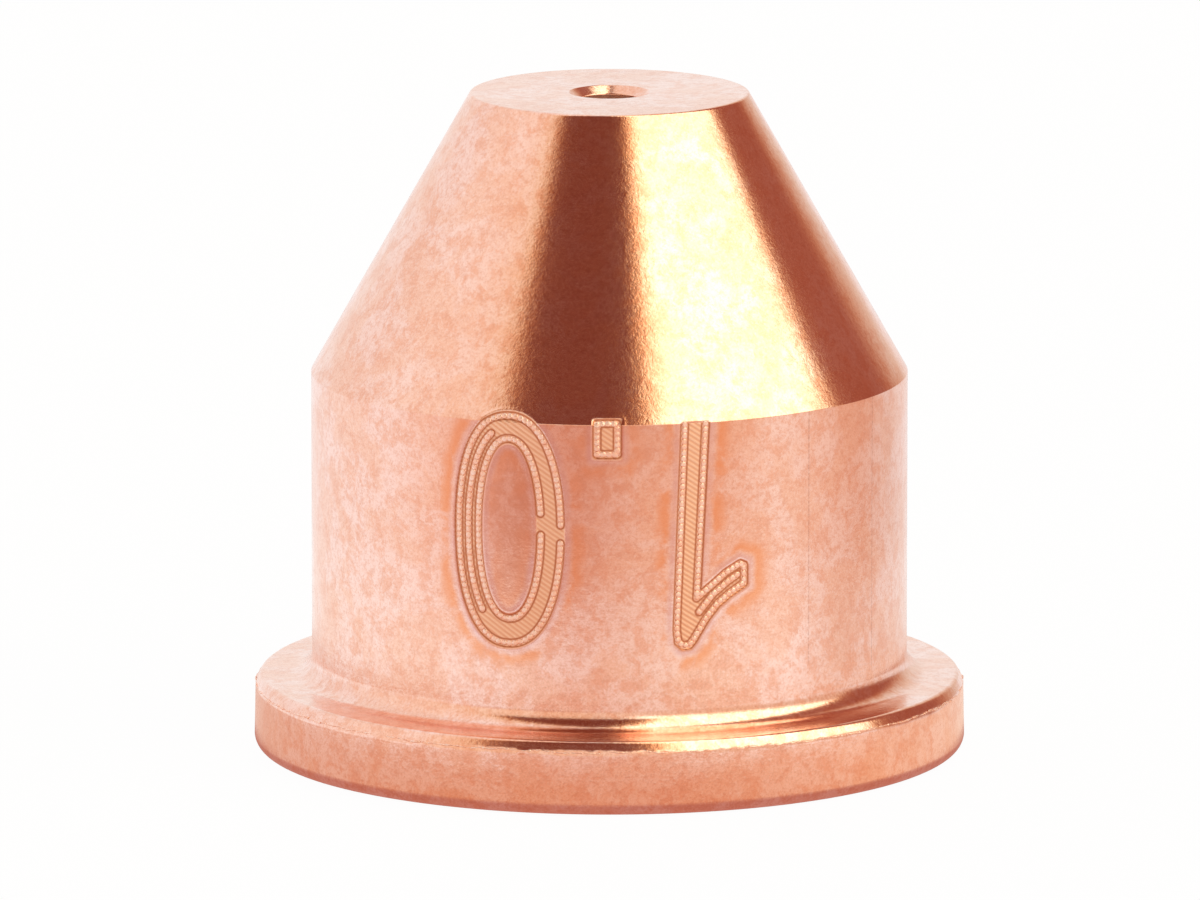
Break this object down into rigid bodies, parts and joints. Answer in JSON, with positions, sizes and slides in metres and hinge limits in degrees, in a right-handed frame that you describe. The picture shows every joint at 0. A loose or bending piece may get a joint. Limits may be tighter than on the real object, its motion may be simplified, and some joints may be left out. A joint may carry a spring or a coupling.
{
  "type": "plasma torch nozzle",
  "caption": "Turned copper plasma torch nozzle with a conical nose, a straight body, a rear clamping flange, a stepped rear bore and a small arc bore.",
  "frame": {"origin": "on the nozzle's axis, in the plane of the rear face", "axes": "+Z along the arc bore, from the rear face towards the nose; the marked side faces -Y"},
  "size_m": [0.0112, 0.0112, 0.0103],
  "materials": {
    "copper": "machined"
  },
  "bodies": {
    "root": {"nozzle": "copper"}
  },
  "joints": []
}
